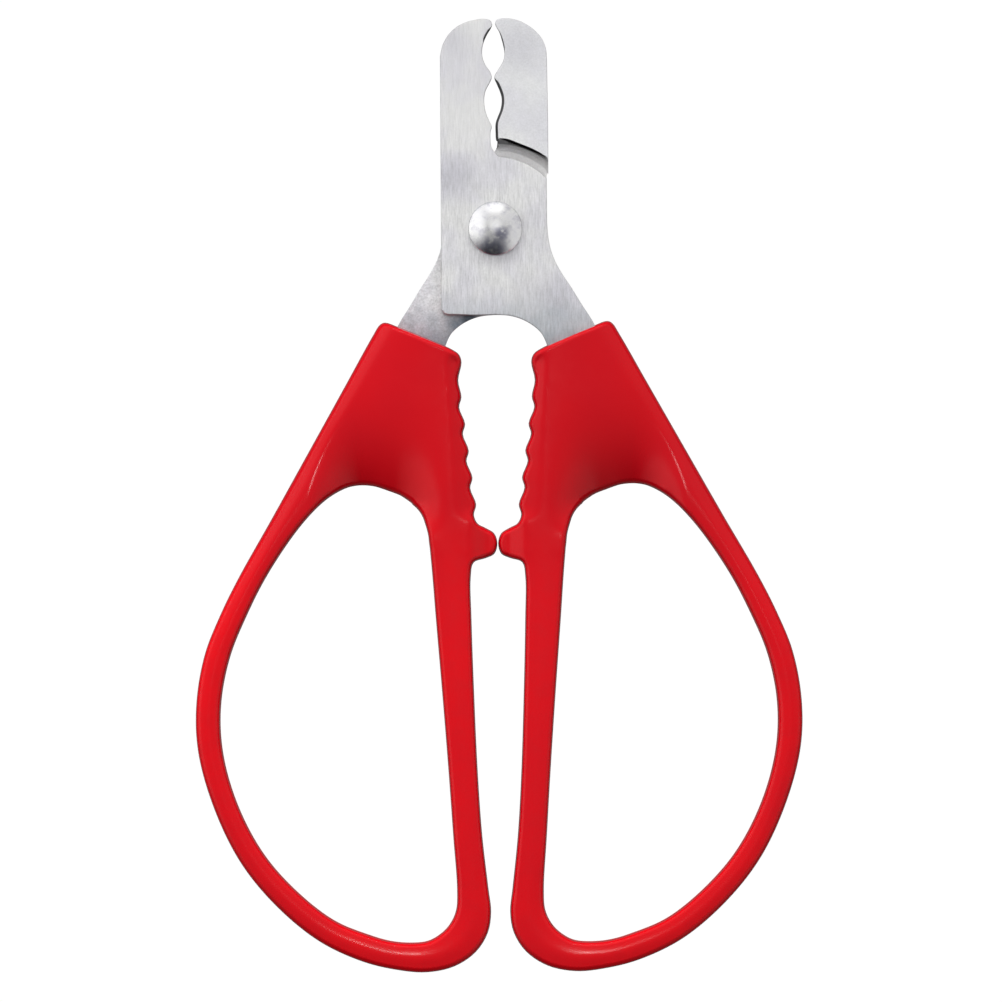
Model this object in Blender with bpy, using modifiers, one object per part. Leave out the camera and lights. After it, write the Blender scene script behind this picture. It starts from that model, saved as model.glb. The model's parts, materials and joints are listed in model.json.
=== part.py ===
"""Scissor nail clipper for small pets, lying flat.

Two notched steel blades turn on one domed rivet, and each blade's tang sits in a moulded
plastic ring handle. Plan sizes are millimetres from the rivet's axis, with x to the right
and y towards the jaw tips; z is up from the surface that the clipper lies on.
"""
import math

import bmesh
import bpy
from mathutils import Vector

NAME = "scissor_nail_clipper"
MM = 0.001
WELD = 0.000001
SMOOTH_ANGLE = 24.0

# Lengthwise place of the rivet's axis, so that the whole clipper is centred on y = 0.
PIVOT_Y = 30.75

# Handles: one moulding, mirrored for the other hand side.
HANDLE_DEPTH = 7.6
EDGE_ROUND = 0.75       # width of the broken edge round both faces
WALL_DRAFT = 0.12       # how far the side wall leans in from the parting line
GRIP_BAND = 1.9         # width of the sloped band along the outer and serrated edges
GRIP_DROP = 0.3         # fall of that band towards the edge
DISH_DEPTH = 1.4        # fall of both faces towards the top of the finger loop
DISH_START = 0.25       # share of the web's width that stays flat
DISH_Y = (-40.0, -31.0)         # the dish fades in over this stretch of the loop's edge
OUTER_BAND_Y = (-50.0, -30.0)   # the band fades in over this stretch of the outer edge
GRIP_BAND_Y = (-35.0, -32.5)    # and over this stretch above the stop
STOP_GAP = 0.05         # each closing stop's distance from the centre line

# Steel.
BLADE_T = 2.0
BLADE_GAP = 0.3
MID_Z = HANDLE_DEPTH / 2
REAR_Z = MID_Z - BLADE_GAP / 2 - BLADE_T / 2
FRONT_Z = MID_Z + BLADE_GAP / 2 + BLADE_T / 2
SHOULDER_R = 8.25       # front blade's shoulder, round the rivet
STEP_R = 10.0           # rear blade steps up to the front blade's level outside this
STEP_WEB = 1.7          # thickness of the wall that joins the two levels
STEP_LEAN = 0.15        # lean of the step's wall

# Rivet.
SHANK_R = 1.6
SHANK_CLEAR = 0.1
HEAD_R = 3.12
HEAD_RIM = 0.3
HEAD_DOME = 1.3
HEAD_GAP = 0.25
WASHER_R = 2.9
WASHER_T = 0.5
TAIL_R = 2.3
TAIL_T = 0.5
ROUND_SIDES = 40

# Tang holes and the moulded pegs that lock them.
TANG_HOLES = ((10.1, -17.2), (11.5, -22.0))
TANG_HOLE_R = 1.2
CLEAR = 0.3
PEG_R = TANG_HOLE_R - CLEAR
PEG_SIDES = 16

RED = (0.62, 0.008, 0.012, 1.0)
STEEL = (0.56, 0.56, 0.58, 1.0)
BRIGHT = (0.72, 0.72, 0.73, 1.0)

# Plan of the right handle, clockwise from its inner top corner. Each row pairs a point of
# the outer edge with the point of the finger loop's edge across the web from it.
TOP_AND_OUTER = (
    (4.02, -15.4, 9.9, -31.6),
    (4.3, -14.5, 10.5, -31.15),
    (5.1, -13.9, 11.2, -30.7),
    (8.0, -12.6, 12.6, -30.15),
    (11.2, -11.3, 14.1, -29.65),
    (12.8, -10.75, 15.0, -29.52),
    (13.4, -11.0, 15.5, -29.5),
    (14.3, -12.4, 16.1, -29.52),
    (17.5, -18.1, 17.4, -29.8),
    (22.0, -26.1, 19.7, -31.1),
    (26.0, -33.2, 22.6, -34.0),
    (30.0, -40.2, 26.5, -39.6),
    (32.1, -44.4, 29.0, -44.4),
    (33.9, -48.9, 31.0, -49.3),
    (34.9, -54.5, 32.05, -54.8),
    (34.75, -60.0, 31.85, -60.2),
    (33.0, -66.5, 30.2, -66.2),
    (30.0, -72.8, 27.3, -71.8),
    (26.0, -77.8, 23.6, -76.1),
    (21.0, -82.0, 19.2, -79.6),
    (16.0, -84.4, 15.2, -81.3),
    (12.0, -85.4, 12.6, -82.05),
    (8.6, -85.7, 10.2, -82.25),
    (5.4, -85.05, 8.4, -82.05),
    (2.9, -83.4, 7.0, -81.3),
    (1.5, -81.2, 5.9, -80.2),
    (1.1, -78.8, 5.15, -78.6),
    (1.4, -76.0, 5.0, -76.2),
    (2.05, -70.0, 5.4, -70.0),
    (2.5, -63.0, 5.85, -63.0),
    (2.85, -54.0, 6.5, -54.0),
    (3.1, -45.0, 7.2, -45.0),
    (3.15, -40.2, 7.55, -40.2),
)
STOP = (
    (2.8, -38.5, 7.7, -38.4),
    (1.4, -38.0, 7.78, -37.5),
    (0.4, -37.5, 7.83, -36.9),
    (STOP_GAP, -36.3, 7.92, -36.2),
    (0.4, -35.15, 8.0, -35.4),
    (1.4, -34.5, 8.15, -34.7),
)
# Serrated grip: cusps with a scallop under each, from the bottom up.
CUSPS = 5
CUSP_FIRST = (4.06, -19.4)
CUSP_PITCH = (-0.4, -3.1)
SCALLOP_AT = (0.27, -1.2)      # deepest point, measured from the cusp above it
SCALLOP_TOP = (4.42, -17.5)
GRIP_LOOP_LOW = (8.45, -33.7)
GRIP_LOOP_HIGH = (9.75, -31.8)

# Front blade, clockwise: left jaw's cutting edge, its back, the tail, then the right shank.
LEFT_JAW = (
    (-0.15, 8.95), (-0.42, 9.5), (-0.48, 10.3), (-0.46, 11.2), (-0.32, 11.7),
    (-0.62, 12.4), (-0.95, 13.2), (-1.15, 14.2), (-1.15, 15.2), (-0.95, 16.0),
    (-0.55, 16.75), (-0.28, 17.4), (-0.5, 18.1), (-0.95, 18.75), (-1.3, 19.6),
    (-1.37, 20.5), (-1.2, 21.4), (-0.8, 22.3), (-0.32, 23.1), (-0.18, 23.5),
    (-0.4, 23.95), (-0.95, 24.14), (-1.7, 24.12), (-3.0, 23.85), (-4.2, 23.3),
    (-5.2, 22.4), (-5.9, 21.2), (-6.22, 19.9),
)
FRONT_TAIL = ((-6.28, -9.3), (-6.08, -9.8), (-5.6, -10.0), (-2.5, -10.0))
FRONT_EDGE_X = 5.97
# Rear blade's raised right jaw, from the slot up and over to its back.
RIGHT_JAW = (
    (0.02, 8.9), (0.12, 9.6), (0.12, 10.8), (0.13, 12.1), (0.4, 12.9),
    (0.68, 13.6), (0.84, 14.4), (0.84, 15.1), (0.65, 15.8), (0.32, 16.6),
    (0.03, 17.4), (0.28, 18.0), (0.75, 18.7), (1.1, 19.4), (1.22, 20.2),
    (1.1, 21.0), (0.9, 21.8), (0.65, 22.6), (0.3, 23.25), (0.16, 23.65),
    (0.35, 24.03), (0.85, 24.18), (1.6, 24.2), (2.8, 23.95), (3.9, 23.4),
    (4.9, 22.6), (5.6, 21.7), (6.0, 20.6), (6.1, 19.5),
)
REAR_BACK = ((6.2, 12.0), (6.17, 8.2), (5.98, 6.4), (5.9, 5.0))
REAR_TAIL = ((5.9, -9.2), (5.7, -9.7), (5.2, -9.9), (2.4, -9.95))
# Arch over the space between the handles, and on down the tang's inner edge.
ARCH = (
    (0.2, -9.95), (1.6, -10.08), (3.0, -10.5), (4.3, -11.25), (5.2, -12.1),
    (5.72, -13.1), (6.2, -14.6), (7.4, -18.5), (9.0, -23.6),
)
TANG_END = ((9.7, -25.1), (11.2, -25.7), (12.7, -24.9))
# The tang's outer edge and the shank's, from the tang's end up to the plate.
SHANK = (
    (13.2, -22.4), (13.3, -18.5), (12.7, -14.6), (11.3, -11.1), (9.9, -8.85),
    (8.75, -6.95), (7.7, -5.35), (6.85, -3.8), (6.35, -2.4), (6.08, -0.9), (5.97, 0.6),
)
TANG_FROM_Y = -9.5      # the handle's pocket follows the tang from here down


def knots(points):
    """Centripetal spacing of a run of points."""
    out = [0.0]
    for a, b in zip(points, points[1:]):
        out.append(out[-1] + math.sqrt((b - a).length) + 1e-9)
    return out


def span_point(p, t, u):
    """Point at parameter u on the Catmull-Rom span between p[1] and p[2]."""
    a = [p[i] + (p[i + 1] - p[i]) * ((u - t[i]) / (t[i + 1] - t[i])) for i in range(3)]
    b = [a[i] + (a[i + 1] - a[i]) * ((u - t[i]) / (t[i + 2] - t[i])) for i in range(2)]
    return b[0] + (b[1] - b[0]) * ((u - t[1]) / (t[2] - t[1]))


def smooth_run(points, steps, closed=False):
    """Curve through the points, with the given number of steps in each span."""
    pts = [Vector(p) for p in points]
    if closed:
        ring = [pts[-1]] + pts + pts[:2]
    else:
        ring = [pts[0] * 2 - pts[1]] + pts + [pts[-1] * 2 - pts[-2]]
    if isinstance(steps, int):
        steps = [steps] * (len(ring) - 3)
    out = []
    for i, count in enumerate(steps):
        four = ring[i:i + 4]
        t = knots(four)
        for k in range(count):
            out.append(span_point(four, t, t[1] + (t[2] - t[1]) * k / count))
    if not closed:
        out.append(pts[-1])
    return out


def arc(radius, start, end, count):
    """Points of an arc round the rivet's axis, angles in degrees."""
    out = []
    for k in range(count + 1):
        a = math.radians(start + (end - start) * k / count)
        out.append(Vector((radius * math.cos(a), radius * math.sin(a))))
    return out


def circle(centre, radius, sides):
    """Closed ring of points round a centre."""
    out = []
    for k in range(sides):
        a = 2 * math.pi * k / sides
        out.append(Vector((centre[0] + radius * math.cos(a), centre[1] + radius * math.sin(a))))
    return out


def mirrored(points):
    """The same points on the other side of the centre line."""
    return [Vector((-p[0], p[1])) for p in points]


def shoulder():
    """Front blade's shoulder, from its right edge round to the slot between the jaws."""
    start = math.degrees(math.acos(FRONT_EDGE_X / SHOULDER_R))
    return arc(SHOULDER_R, start, 86.0, 10) + [Vector((0.2, 8.6))]


def front_outline():
    """Front blade in plan."""
    points = smooth_run(LEFT_JAW, 2)
    points += [Vector(p) for p in FRONT_TAIL]
    points += smooth_run(ARCH, 2)
    points += smooth_run(TANG_END, 2)
    points += smooth_run(SHANK, 2)
    return points + shoulder()


def rear_outline():
    """Rear blade in plan: the right jaw, with the shank and tang on the left."""
    points = smooth_run(RIGHT_JAW, 2)
    points += [Vector(p) for p in REAR_BACK + REAR_TAIL]
    points += mirrored(smooth_run(ARCH, 2))
    points += mirrored(smooth_run(TANG_END, 2))
    points += mirrored(smooth_run(SHANK, 2))
    return points + mirrored(shoulder())


def grown(points, distance):
    """A closed outline moved outwards by a distance."""
    area = sum(a.cross(b) for a, b in zip(points, points[1:] + points[:1]))
    side = distance if area < 0 else -distance
    out = []
    for i, p in enumerate(points):
        before = (p - points[i - 1]).normalized()
        after = (points[(i + 1) % len(points)] - p).normalized()
        along = (before + after).normalized()
        normal = Vector((-along.y, along.x))
        reach = side / max(0.5, math.sqrt((1 + before.dot(after)) / 2))
        out.append(p + normal * reach)
    return out


def tang_outline():
    """The part of a tang that lies in the handle, right hand side."""
    inner = [p for p in smooth_run(ARCH, 2) if p.y < TANG_FROM_Y and p.x > 4.0]
    end = smooth_run(TANG_END, 2)
    outer = [p for p in smooth_run(SHANK, 2) if p.y < TANG_FROM_Y]
    return inner + end + outer


def link(obj, collection):
    """Put an object in a collection, standing on the rivet's axis."""
    collection.objects.link(obj)
    obj.location = (0.0, PIVOT_Y * MM, 0.0)
    return obj


def mesh_object(name, bm, collection, smooth_angle=0.0):
    """Make an object of a bmesh, shaded smooth below an edge angle in degrees."""
    mesh = bpy.data.meshes.new(name)
    bm.to_mesh(mesh)
    bm.free()
    if smooth_angle:
        mesh.shade_smooth()
        mesh.set_sharp_from_angle(angle=math.radians(smooth_angle))
    return link(bpy.data.objects.new(name, mesh), collection)


def plate(name, loops, mid_z, thickness, collection):
    """Flat plate: an outline with holes, extruded both ways from its middle height."""
    curve = bpy.data.curves.new(name, "CURVE")
    curve.dimensions = "2D"
    curve.fill_mode = "BOTH"
    curve.extrude = thickness / 2 * MM
    for loop in loops:
        spline = curve.splines.new("POLY")
        spline.points.add(len(loop) - 1)
        for point, p in zip(spline.points, loop):
            point.co = (p[0] * MM, p[1] * MM, 0.0, 1.0)
        spline.use_cyclic_u = True
    source = bpy.data.objects.new(name + "_plan", curve)
    bpy.context.scene.collection.objects.link(source)
    graph = bpy.context.evaluated_depsgraph_get()
    mesh = bpy.data.meshes.new_from_object(source.evaluated_get(graph))
    bm = bmesh.new()
    bm.from_mesh(mesh)
    bpy.data.meshes.remove(mesh)
    bpy.data.objects.remove(source)
    bmesh.ops.remove_doubles(bm, verts=bm.verts, dist=WELD)
    bmesh.ops.translate(bm, verts=bm.verts, vec=(0.0, 0.0, mid_z * MM))
    bmesh.ops.recalc_face_normals(bm, faces=bm.faces)
    return mesh_object(name, bm, collection)


def turned(name, profile, collection, sides=ROUND_SIDES):
    """Body of revolution round the rivet's axis: (radius, height) from top to bottom."""
    bm = bmesh.new()
    verts = [bm.verts.new((r * MM, 0.0, z * MM)) for r, z in profile]
    for a, b in zip(verts, verts[1:]):
        bm.edges.new((a, b))
    if profile[0][0] > 0:
        bm.edges.new((verts[-1], verts[0]))
    obj = mesh_object(name, bm, collection)
    screw = obj.modifiers.new("turn", "SCREW")
    screw.axis = "Z"
    screw.angle = 2 * math.pi
    screw.steps = sides
    screw.render_steps = sides
    screw.use_merge_vertices = True
    screw.merge_threshold = WELD
    screw.use_smooth_shade = True
    return obj


def block(name, low, high, collection):
    """Box between two corners, as a cutter."""
    bm = bmesh.new()
    bmesh.ops.create_cube(bm, size=1.0)
    size = [(h - l) * MM for l, h in zip(low, high)]
    centre = [(h + l) / 2 * MM for l, h in zip(low, high)]
    bmesh.ops.scale(bm, verts=bm.verts, vec=size)
    bmesh.ops.translate(bm, verts=bm.verts, vec=centre)
    return mesh_object(name, bm, collection)


def cut(obj, cutter, operation="DIFFERENCE"):
    """Add a Boolean to an object."""
    boolean = obj.modifiers.new(cutter.name, "BOOLEAN")
    boolean.operation = operation
    boolean.object = cutter
    boolean.solver = "EXACT"


def hide(obj):
    """Mark a cutter, so that it only shapes other objects."""
    obj.hide_render = True
    obj.display_type = "WIRE"
    return obj


def grip_rows():
    """Rows of the serrated edge, from the stop up to the top corner."""
    points = [(2.3, -34.0)]
    for k in reversed(range(CUSPS)):
        cusp = (CUSP_FIRST[0] + CUSP_PITCH[0] * k, CUSP_FIRST[1] + CUSP_PITCH[1] * k)
        points.append((cusp[0] + SCALLOP_AT[0], cusp[1] + SCALLOP_AT[1]))
        points.append(cusp)
    points.append(SCALLOP_TOP)
    rows = []
    for k, p in enumerate(points):
        share = k / (len(points) - 1)
        x = GRIP_LOOP_LOW[0] + (GRIP_LOOP_HIGH[0] - GRIP_LOOP_LOW[0]) * share
        y = GRIP_LOOP_LOW[1] + (GRIP_LOOP_HIGH[1] - GRIP_LOOP_LOW[1]) * share
        rows.append((p[0], p[1], x, y))
    return rows


def handle_stations():
    """Outer and loop edge points of the right handle, paired across the web."""
    rows = list(TOP_AND_OUTER) + list(STOP) + grip_rows()
    outer = [Vector(r[:2]) for r in rows]
    loop = [Vector(r[2:]) for r in rows]
    steps = []
    for i, p in enumerate(outer):
        reach = (outer[(i + 1) % len(outer)] - p).length
        steps.append(1 if reach < 2.2 else 2 if reach < 6.0 else 3)
    return smooth_run(outer, steps, True), smooth_run(loop, steps, True)


def inward(points, reach):
    """Unit normals to the right of a clockwise ring, averaged over a few neighbours."""
    count = len(points)
    out = []
    for i in range(count):
        along = points[(i + reach) % count] - points[i - reach]
        out.append(Vector((along.y, -along.x)).normalized())
    return out


def blend(low, high, value):
    """Smooth step from 0 to 1 between two values."""
    t = min(1.0, max(0.0, (value - low) / (high - low)))
    return t * t * (3 - 2 * t)


def web_section(a, b, na, nb):
    """Top half of the section from the outer edge to the loop's edge, as (x, y, height)."""
    width = (b - a).length
    dish = DISH_DEPTH * blend(*DISH_Y, b.y)
    band = blend(*(OUTER_BAND_Y if a.x > b.x else GRIP_BAND_Y), a.y)
    edge = min(EDGE_ROUND, 0.3 * width)
    ridge = edge + WALL_DRAFT + (GRIP_BAND - edge - WALL_DRAFT) * band
    half = HANDLE_DEPTH / 2
    fall = GRIP_DROP * band
    start = a + na * ridge
    finish = b + nb * (edge + WALL_DRAFT)
    out = [(a, 0.0), (a + na * WALL_DRAFT, half - edge - fall)]
    if band > 0:
        out.append((a + na * (edge + WALL_DRAFT), half - fall))
    else:
        out.append((a + na * (edge + WALL_DRAFT * 0.9), half))
    out.append((start, half))
    for share in (0.4, 0.75):
        sink = dish * max(0.0, (share - DISH_START) / (1 - DISH_START)) ** 2
        out.append((start.lerp(finish, share), half - sink))
    out.append((finish, half - dish))
    out.append((b + nb * WALL_DRAFT, half - dish - edge))
    out.append((b, 0.0))
    return out


def ring_handle(name, side, collection):
    """Closed ring of web sections, mirrored front to back about the parting line."""
    outer, loop = handle_stations()
    outer_in = inward(outer, 2)
    loop_in = [-n for n in inward(loop, 2)]
    bm = bmesh.new()
    rings = []
    for a, b, na, nb in zip(outer, loop, outer_in, loop_in):
        top = web_section(a, b, na, nb)
        under = [(p, -h) for p, h in reversed(top[1:-1])]
        ring = []
        for p, h in top + under:
            ring.append(bm.verts.new((side * p.x * MM, p.y * MM, (MID_Z + h) * MM)))
        rings.append(ring)
    for i, ring in enumerate(rings):
        following = rings[(i + 1) % len(rings)]
        for k in range(len(ring)):
            n = (k + 1) % len(ring)
            bm.faces.new((ring[k], ring[n], following[n], following[k]))
    bmesh.ops.recalc_face_normals(bm, faces=bm.faces)
    return mesh_object(name, bm, collection, SMOOTH_ANGLE)


def tang_pocket(name, side, mid_z, collection):
    """Cutter for a handle's pocket: the tang with clearance, less the two pegs."""
    outline = grown(tang_outline(), CLEAR)
    loops = [outline] + [circle(c, PEG_R, PEG_SIDES) for c in TANG_HOLES]
    if side < 0:
        loops = [mirrored(loop) for loop in loops]
    return hide(plate(name, loops, mid_z, BLADE_T + 2 * CLEAR, collection))


def blade_holes(side):
    """Rivet hole and tang holes of a blade whose tang is on the given side."""
    loops = [circle((0.0, 0.0), SHANK_R + SHANK_CLEAR, ROUND_SIDES)]
    for x, y in TANG_HOLES:
        loops.append(circle((side * x, y), TANG_HOLE_R, PEG_SIDES))
    return loops


def front_blade(parts):
    """Flat blade: left jaw, plate, right shank and tang."""
    loops = [front_outline()] + blade_holes(1)
    return plate("front_blade", loops, FRONT_Z, BLADE_T, parts)


def rear_blade(parts, cutters):
    """Rear blade: cut from double height so that its jaw stands at the front level."""
    low = REAR_Z - BLADE_T / 2
    high = FRONT_Z + BLADE_T / 2
    loops = [rear_outline()] + blade_holes(-1)
    blade = plate("rear_blade", loops, (low + high) / 2, high - low, parts)
    floor = REAR_Z + BLADE_T / 2
    above = high + 1.0
    step = turned("step_recess", ((0.0, above), (STEP_R, above), (STEP_R, high),
                                  (STEP_R - STEP_LEAN, floor), (0.0, floor)), cutters, 96)
    cut(blade, hide(step))
    shank = block("shank_recess", (-30.0, -40.0, floor), (30.0, 4.0, above), cutters)
    cut(blade, hide(shank))
    ceiling = FRONT_Z - BLADE_T / 2
    inner = STEP_R + STEP_WEB
    under = turned("jaw_underside", ((inner + BLADE_T, ceiling), (30.0, ceiling),
                                     (30.0, low - 1.0), (inner, low - 1.0), (inner, low)),
                   cutters, 96)
    front_only = block("jaw_side", (-30.0, 2.0, low - 2.0), (30.0, 40.0, above), cutters)
    cut(under, hide(front_only), "INTERSECT")
    cut(blade, hide(under))
    return blade


def dome(radius, rim_z, height, count, up):
    """Profile of a shallow dome from its crown to its rim."""
    out = []
    for k in range(count + 1):
        a = math.pi / 2 * (1 - k / count)
        out.append((radius * math.cos(a), rim_z + up * height * math.sin(a)))
    out[0] = (0.0, rim_z + up * height)
    return out


def rivet(parts):
    """Rivet: domed head in front, shank through both blades, spread tail behind."""
    seat = FRONT_Z + BLADE_T / 2 + HEAD_GAP
    tail_top = REAR_Z - BLADE_T / 2 - 2 * HEAD_GAP - WASHER_T
    profile = dome(HEAD_R, seat + HEAD_RIM, HEAD_DOME, 8, 1)
    profile += [(HEAD_R - 0.05, seat), (SHANK_R, seat), (SHANK_R, tail_top)]
    profile += [(TAIL_R, tail_top), (TAIL_R, tail_top - 0.15)]
    profile += [(TAIL_R * 0.72, tail_top - TAIL_T * 0.85), (0.0, tail_top - TAIL_T)]
    return turned("rivet", profile, parts)


def rivet_washer(parts):
    """Flat washer between the rear blade and the rivet's tail."""
    top = REAR_Z - BLADE_T / 2 - HEAD_GAP
    inner = SHANK_R + SHANK_CLEAR
    ring = ((inner, top), (WASHER_R, top), (WASHER_R, top - WASHER_T), (inner, top - WASHER_T))
    return turned("rivet_washer", ring, parts)


def material(name, colour, metallic, roughness):
    """Plain Principled material."""
    mat = bpy.data.materials.new(name)
    mat.use_nodes = True
    shader = mat.node_tree.nodes["Principled BSDF"]
    shader.inputs["Base Color"].default_value = colour
    shader.inputs["Metallic"].default_value = metallic
    shader.inputs["Roughness"].default_value = roughness
    mat.diffuse_color = colour
    return mat


def main():
    for obj in list(bpy.data.objects):
        bpy.data.objects.remove(obj)
    parts = bpy.data.collections.new(NAME)
    cutters = bpy.data.collections.new(NAME + "_cutters")
    for collection in (parts, cutters):
        bpy.context.scene.collection.children.link(collection)
    opening = bpy.data.objects.new("front_half_pivot", None)
    link(opening, parts)

    left = ring_handle("left_handle", -1, parts)
    right = ring_handle("right_handle", 1, parts)
    cut(left, tang_pocket("left_pocket", -1, REAR_Z, cutters))
    cut(right, tang_pocket("right_pocket", 1, FRONT_Z, cutters))
    front = front_blade(parts)
    rear = rear_blade(parts, cutters)
    pin = rivet(parts)
    washer = rivet_washer(parts)

    plastic = material("red_plastic", RED, 0.0, 0.22)
    front_steel = material("brushed_steel", STEEL, 1.0, 0.38)
    rear_steel = material("satin_steel", STEEL, 1.0, 0.45)
    bright = material("polished_steel", BRIGHT, 1.0, 0.14)
    looks = ((left, plastic), (right, plastic), (front, front_steel), (rear, rear_steel),
             (pin, bright), (washer, bright))
    for obj, mat in looks:
        obj.data.materials.append(mat)
    for obj in (front, right):
        obj.parent = opening
        obj.location = (0.0, 0.0, 0.0)


main()
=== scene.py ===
"""Looks of the scissor nail clipper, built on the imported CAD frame.

Plan sizes are millimetres from the rivet's axis, x to the right and y towards the jaws;
heights are millimetres above the surface that the clipper lies on.
"""
import json
import math

import bmesh
import bpy
import numpy as np
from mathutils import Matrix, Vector


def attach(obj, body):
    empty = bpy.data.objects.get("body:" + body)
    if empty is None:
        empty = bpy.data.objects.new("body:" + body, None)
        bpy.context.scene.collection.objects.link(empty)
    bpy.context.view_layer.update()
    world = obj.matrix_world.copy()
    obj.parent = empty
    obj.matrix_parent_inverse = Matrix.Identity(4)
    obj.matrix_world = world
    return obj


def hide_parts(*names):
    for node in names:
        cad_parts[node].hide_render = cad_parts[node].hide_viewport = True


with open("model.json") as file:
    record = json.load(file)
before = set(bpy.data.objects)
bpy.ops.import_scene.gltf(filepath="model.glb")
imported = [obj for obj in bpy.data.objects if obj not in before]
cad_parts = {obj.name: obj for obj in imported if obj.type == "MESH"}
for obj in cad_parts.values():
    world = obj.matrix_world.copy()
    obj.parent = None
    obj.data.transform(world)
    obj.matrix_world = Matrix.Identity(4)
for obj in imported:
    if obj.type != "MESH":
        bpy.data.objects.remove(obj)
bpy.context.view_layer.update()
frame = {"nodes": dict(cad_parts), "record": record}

MM = 0.001
PIVOT_Y = frame["record"]["behaviour"]["joints"][0]["pos_m"][1] / MM
REAR_BODY = "rear_half"
FRONT_BODY = "front_half"

# ------------------------------------------- sizes, as in the CAD where it has the same
HANDLE_DEPTH = 7.6
MID_Z = HANDLE_DEPTH / 2
BLADE_T = 2.0
REAR_LOW = 1.65
REAR_TOP = REAR_LOW + BLADE_T
FRONT_LOW = 3.95
FRONT_TOP = FRONT_LOW + BLADE_T
SHOULDER_R = 8.25           # front blade's round shoulder
STEP_R = 10.02              # inner edge of the raised jaw
# Heights in the step's hollow foot, and how far its wall has moved in at each.
STEP_FOOT = ((4.7, 0.12), (4.3, 0.24), (4.0, 0.42), (3.82, 0.66), (3.71, 0.95), (3.6, 1.25))
# The wall between the levels: radii, run of the slope behind it, and x at which it
# begins, at its foot and at its top.
WEB_IN = STEP_R - 0.4
WEB_OUT = 11.7
WEB_RUN = 2.0
WEB_START = (0.36, 0.86)
HEAD_R = 3.12
HEAD_SEAT = 6.2
HEAD_RIM = 0.5
HEAD_DOME = 1.1
# Radius and level of the points round the head's rim, from the rim's upper edge.
HEAD_EDGE = ((-0.04, 0.03), (0.0, -0.06), (0.0, -0.2))
HEAD_UNDERCUT = 0.08        # rounding of the head's lower edge
SHANK_R = 1.6
TAIL_TOP = 0.65
TAIL_R = 2.3
TAIL_T = 0.5
TAIL_FLAT_R = 1.5
TAIL_ROUND = 0.8            # share of the tail's thickness that is rounded
TAIL_LIFT = 0.02            # keeps the rounded part clear of the tail's foot
DOME_STEPS = 24
TAIL_ROUND_STEPS = 8
RIVET_SIDES = 96

# Rows round the right handle, clockwise from its top corner: outer x, y and loop x, y.
TOP_AND_OUTER = (
    (4.02, -15.4, 9.9, -31.6),
    (4.3, -14.5, 10.5, -31.15),
    (5.1, -13.9, 11.2, -30.7),
    (8.0, -12.6, 12.6, -30.15),
    (11.2, -11.3, 14.1, -29.65),
    (12.8, -10.75, 15.0, -29.52),
    (13.4, -11.0, 15.5, -29.5),
    (14.3, -12.4, 16.1, -29.52),
    (17.5, -18.1, 17.4, -29.8),
    (22.0, -26.1, 19.7, -31.1),
    (26.0, -33.2, 22.6, -34.0),
    (30.0, -40.2, 26.5, -39.6),
    (32.1, -44.4, 29.0, -44.4),
    (33.9, -48.9, 31.0, -49.3),
    (34.9, -54.5, 32.05, -54.8),
    (34.75, -60.0, 31.85, -60.2),
    (33.0, -66.5, 30.2, -66.2),
    (30.0, -72.8, 27.3, -71.8),
    (26.0, -77.8, 23.6, -76.1),
    (21.0, -82.0, 19.2, -79.6),
    (16.0, -84.4, 15.2, -81.3),
    (12.0, -85.4, 12.6, -82.05),
    (8.6, -85.7, 10.2, -82.25),
    (5.4, -85.05, 8.4, -82.05),
    (2.9, -83.4, 7.0, -81.3),
    (1.5, -81.2, 5.9, -80.2),
    (1.1, -78.8, 5.15, -78.6),
    (1.4, -76.0, 5.0, -76.2),
    (2.05, -70.0, 5.4, -70.0),
    (2.5, -63.0, 5.85, -63.0),
    (2.85, -54.0, 6.5, -54.0),
    (3.1, -45.0, 7.2, -45.0),
    (3.15, -40.2, 7.55, -40.2),
)
STOP = (
    (2.8, -38.5, 7.7, -38.4),
    (1.4, -38.0, 7.78, -37.5),
    (0.4, -37.5, 7.83, -36.9),
    (0.05, -36.3, 7.92, -36.2),
    (0.4, -35.15, 8.0, -35.4),
    (1.4, -34.5, 8.15, -34.7),
)
GRIP_START = (2.3, -34.0)
CUSPS = 5                   # points of the serrations, from the topmost one down
CUSP_FIRST = (4.06, -19.4)
CUSP_PITCH = (-0.4, -3.1)
SCALLOP_AT = (0.27, -1.2)
SCALLOP_TOP = (4.42, -17.5)
# x of the even line through the serrations, from each cusp, at its scallop and at itself.
EVEN_AT = (0.1, 0.2)
# Loop points beside the serrations: both ends, and how far the middle bulges.
GRIP_LOOP_LOW = (8.45, -33.7)
GRIP_LOOP_HIGH = (9.75, -31.8)
GRIP_LOOP_BULGE = (-0.15, 0.1)

# Each jaw runs from the crotch up its cutting edge and over the tip to its back.
LEFT_JAW = (
    (-0.15, 8.95), (-0.42, 9.5), (-0.48, 10.3), (-0.46, 11.2), (-0.32, 11.7),
    (-0.62, 12.4), (-0.95, 13.2), (-1.15, 14.2), (-1.15, 15.2), (-0.95, 16.0),
    (-0.55, 16.75), (-0.28, 17.4), (-0.5, 18.1), (-0.95, 18.75), (-1.3, 19.6),
    (-1.37, 20.5), (-1.2, 21.4), (-0.8, 22.3), (-0.32, 23.1), (-0.18, 23.5),
    (-0.4, 23.95), (-0.95, 24.14), (-1.7, 24.12), (-3.0, 23.85), (-4.2, 23.3),
    (-5.2, 22.4), (-5.9, 21.2), (-6.22, 19.9),
)
FRONT_TAIL = ((-6.28, -9.3), (-6.08, -9.8), (-5.6, -10.0), (-2.5, -10.0))
FRONT_EDGE_X = 5.97
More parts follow.
